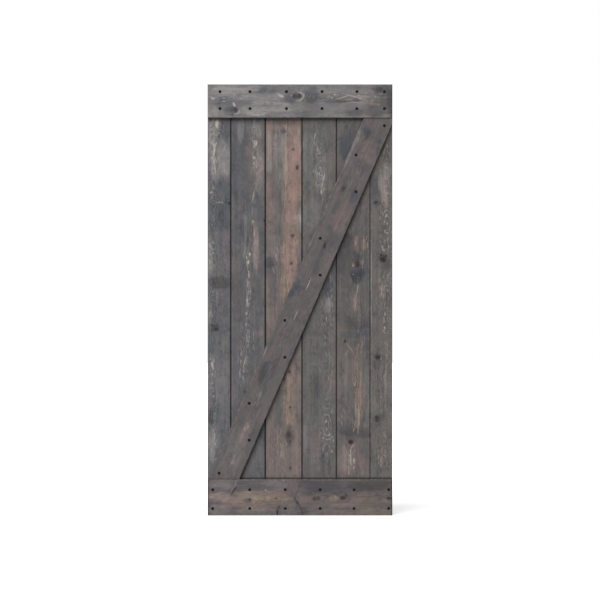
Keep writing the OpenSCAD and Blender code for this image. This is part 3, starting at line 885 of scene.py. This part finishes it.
bottom_rail_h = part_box("bottom_rail")[1].z - door_bottom
bar(
    "bottom_rail", math.pi / 2, (door_left, door_bottom + bottom_rail_h), bottom_rail_h,
    rail_starts, rail_ends, screw_places("bottom_rail_screw", 12), shown(102, 95, 95), seed=83, ring=0.0050,
    # Its two ends, at the door's edges, are painted dark as shade. Both long arrises are rubbed pale, which
    # also paints a highlight along the top one.
    heart=((0.105, 0.092), 0.026, 0.006, 0.010), waver=1.2, rubbed=0.04, grain=0.5, rims=(0.10, 0.15),
    ruddy=0.75, joints=[("x", door_left, 0.012, 0.5), ("x", door_right, 0.010, 0.8)],
    knots=[(208, 80, 6, 9, 60), (338, 85, 5, 9, 60), (529, 85, 11, 11, 60), (546, 87, 11, 9, 55),
           (668, 88, 10, 15, 75), (684, 98, 8, 8, 50), (896, 86, 7, 12, 80), (855, 82, 5, 9, 40)],
    smoke=[(215, 148, 30, 75, 25), (530, 145, 32, 70, 60), (630, 148, 32, 80, 50), (800, 140, 22, 110, 35),
           (445, 60, 24, 12, 50), (380, 30, 24, 24, 25), (110, 25, 20, 50, 10)],
    tan=[(240, 84, 32, 140, 50), (790, 30, 22, 50, 20), (885, 72, 12, 18, 50), (630, 88, 14, 34, 60),
         (800, 75, 24, 110, 30), (350, 95, 20, 70, 30), (885, 68, 10, 30, 50)],
    rose=[(60, 90, 20, 55, 60), (500, 80, 20, 50, 40), (110, 58, 22, 60, 35), (190, 46, 14, 60, 25),
          (672, 92, 20, 22, 35), (690, 50, 16, 70, 30), (300, 40, 14, 60, 30)],
    pale=[(240, 30, 22, 90, 15), (60, 155, 22, 60, 25), (60, 30, 24, 50, 20), (340, 150, 20, 70, 25),
          (205, 94, 20, 50, 25), (60, 92, 20, 50, 25)],
    umber=[(192, 74, 10, 18, 40), (800, 148, 30, 120, 60), (810, 75, 30, 110, 25), (500, 80, 30, 50, 25),
           (560, 148, 34, 110, 35), (475, 18, 24, 20, 40), (350, 25, 24, 12, 40)],
    cream=[(640, 92, 10, 30, 30)],
    ash=[(770, 30, 24, 60, 40), (60, 20, 18, 60, 30), (240, 10, 10, 80, 40)],
    bare=[(287, 126, 4, 4, 80), (228, 66, 4, 8, 40, -30), (138, 160, 3, 20, 25, -75),
          (121, 130, 3, 20, 20, -55), (640, 88, 3, 14, 12), (375, 173, 3, 4, 60)],
    crack=[(130, 124, 5, 28, 60, -55), (345, 16, 5, 18, 90, -85), (354, 44, 5, 10, 50, -60),
           (462, 156, 4, 24, 25, -67), (441, 112, 6, 24, 30, -62), (431, 86, 6, 12, 55, 88),
           (443, 65, 6, 18, 65, 54), (461, 40, 6, 16, 50, 62), (468, 14, 5, 16, 40, 80),
           (664, 112, 3, 14, 40, 60), (682, 112, 3, 14, 40, -60), (120, 52, 3, 24, 30, 35)],
)


# ---------------------------------------------------------------------------------------------------------
# Diagonal brace: one long board from the bottom left to the top right, sawn to fit between the rails and
# flush with the door's right side. It has two screws on each inner plank and one at each end.

brace_w, brace_toe, side_cut = 0.140, 0.003, 0.028
opening_low, opening_high = door_bottom + bottom_rail_h, door_top - top_rail_h
foot = (door_left + brace_toe, opening_low)
run_x, run_z = door_right - foot[0], opening_high - side_cut - foot[1]
brace_lean = math.acos(brace_w / math.hypot(run_x, run_z)) - math.atan2(run_z, run_x)
brace_low, brace_high = (corner.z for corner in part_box("diagonal_brace"))
sine, cosine = math.sin(brace_lean), math.cos(brace_lean)


def brace_starts(across):
    """Where each line along the brace meets the bottom rail."""
    return (brace_low - foot[1] + across * sine) / cosine


def brace_ends(across):
    """Where each line along the brace meets the top rail or the door's right side, whichever is first."""
    under_rail = (brace_high - foot[1] + across * sine) / cosine
    at_side = (door_right - foot[0] - across * cosine) / sine
    return np.minimum(under_rail, at_side)


top_corner = (door_right - foot[0]) * cosine - (brace_high - foot[1]) * sine
bar(
    "diagonal_brace", brace_lean, foot, brace_w, brace_starts, brace_ends,
    screw_places("brace_screw", 10), shown(97, 92, 93), marks=(top_corner,), step=0.0036,
    seed=97, ring=0.0046, heart=((0.070, 0.060), 0.030, 0.012, 0.008), waver=0.9, rubbed=0.03, grain=0.4,
    # The brace's ends, where it meets the rails, are painted dark as shade, and its long arrises are rubbed
    # pale, which also paints a highlight along them.
    rims=(0.20, 0.30), joints=[("z", brace_low, 0.004, 0.5), ("z", brace_high, 0.010, 0.5)],
    knots=[(671, 1616, 8, 12, 80), (579, 1336, 5, 14, 60)],
    smoke=[(729, 1581, 20, 32, 70), (782, 1908, 11, 20, 80), (794, 1884, 11, 22, 80),
           (630, 1356, 34, 50, 35), (414, 1100, 18, 22, 90), (283, 744, 12, 18, 90),
           (438, 1139, 16, 30, 60), (537, 1216, 16, 28, 45), (281, 712, 20, 46, 60)],
    rose=[(654, 1476, 36, 85, 22), (791, 1793, 45, 50, 25), (126, 266, 8, 16, 70), (131, 292, 5, 10, 60),
          (190, 436, 11, 20, 60), (172, 392, 10, 36, 30)],
    pale=[(714, 1810, 8, 120, 45), (140, 330, 45, 140, 15)],
    umber=[(852, 1849, 14, 14, 40), (788, 1896, 9, 24, 40), (578, 1340, 9, 24, 40), (270, 690, 16, 40, 50),
           (463, 1070, 50, 100, 12)],
    # The last bare stroke, at 513, 1356 along the brace's left edge, is a painted highlight.
    bare=[(499, 1146, 3, 36, 60), (436, 992, 3, 34, 50), (286, 815, 3, 30, 40), (201, 440, 5, 10, 35),
          (259, 596, 6, 26, 22), (740, 1700, 4, 14, 22), (555, 1100, 3, 30, 20, 8), (513, 1356, 3, 60, 14)],
    crack=[(264, 545, 3, 10, 40), (580, 1338, 4, 22, 70, -23), (571, 1362, 4, 6, 40, -50)],
)


# ---------------------------------------------------------------------------------------------------------
# Screws: thirty-four flat-head wood screws with a cross recess, black phosphate over steel, driven just
# below the face. Their CAD shapes are kept, and take the finish.

blackest, worn_black = (0.004, 0.004, 0.004, 1.0), (0.014, 0.013, 0.013, 1.0)
dull, buffed = 0.62, 0.42  # roughness in the blackest spots and in the scuffed ones

phosphate = Finish("black_phosphate")
speckle = phosphate.noise(phosphate.node("ShaderNodeTexCoord").outputs["Object"], scale=2200.0, detail=3.0)
scuffed = phosphate.between(speckle, 0.35, 0.75, easing="LINEAR")
phosphate.coat(
    Base_Color=phosphate.mixed(scuffed, blackest, worn_black),
    Roughness=phosphate.between(scuffed, 0.0, 1.0, dull, buffed, easing="LINEAR"),
    Specular_IOR_Level=0.2,
)
for name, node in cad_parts.items():
    if "_screw_" in name:
        node.data.materials.clear()
        node.data.materials.append(phosphate.material)


# ---------------------------------------------------------------------------------------------------------
# Floor and light: a pale studio floor that runs out into a white surround. It glows a little, like a
# light table, so that the door's shadow on it stays faint. A very wide soft light stands high in front on
# the left, and the surround fills the shadows.

seen_white, cast_grey, cast_sky = 1.0, 0.35, 0.39  # what the camera sees, and what reaches the door
white = (1.0, 1.0, 1.0, 1.0)
floor_reach, floor_glow = 40.0, 0.45
light_angle, light_strength = 42.0, 3.06  # degrees, and watts on a square metre
towards_light = (-0.53, -1.0, 1.09)


def seen_or_cast(tree, socket, seen, cast):
    """Feeds a socket one grey where the camera looks and another where light bounces on."""
    path = tree.nodes.new("ShaderNodeLightPath")
    made = tree.nodes.new("ShaderNodeMapRange")
    tree.links.new(path.outputs["Is Camera Ray"], made.inputs["Value"])
    made.inputs["To Min"].default_value = cast
    made.inputs["To Max"].default_value = seen
    tree.links.new(made.outputs[0], socket)


floor_mesh = bpy.data.meshes.new("floor")
corners = [(-floor_reach, -floor_reach), (floor_reach, -floor_reach),
           (floor_reach, floor_reach), (-floor_reach, floor_reach)]
floor_mesh.from_pydata([(x, y, door_bottom) for x, y in corners], [], [(0, 1, 2, 3)])
floor = bpy.data.objects.new("floor", floor_mesh)
bpy.context.scene.collection.objects.link(floor)
paint = Finish("floor_paint")
paint.coat(Roughness=1.0, Specular_IOR_Level=0.0, Emission_Color=white)
seen_or_cast(paint.tree, paint.shader.inputs["Base Color"], seen_white, cast_grey)
seen_or_cast(paint.tree, paint.shader.inputs["Emission Strength"], floor_glow, 0.0)
floor.data.materials.append(paint.material)

studio = bpy.data.worlds.new("studio")
studio.use_nodes = True
surround = studio.node_tree.nodes["Background"]
surround.inputs["Color"].default_value = white
seen_or_cast(studio.node_tree, surround.inputs["Strength"], seen_white, cast_sky)
bpy.context.scene.world = studio

light = bpy.data.objects.new("light", bpy.data.lights.new("light", "SUN"))
bpy.context.scene.collection.objects.link(light)
light.data.angle = math.radians(light_angle)
light.data.energy = light_strength
light.rotation_euler = Vector(towards_light).to_track_quat("Z", "Y").to_euler()
bpy.context.scene.view_settings.view_transform = "Standard"
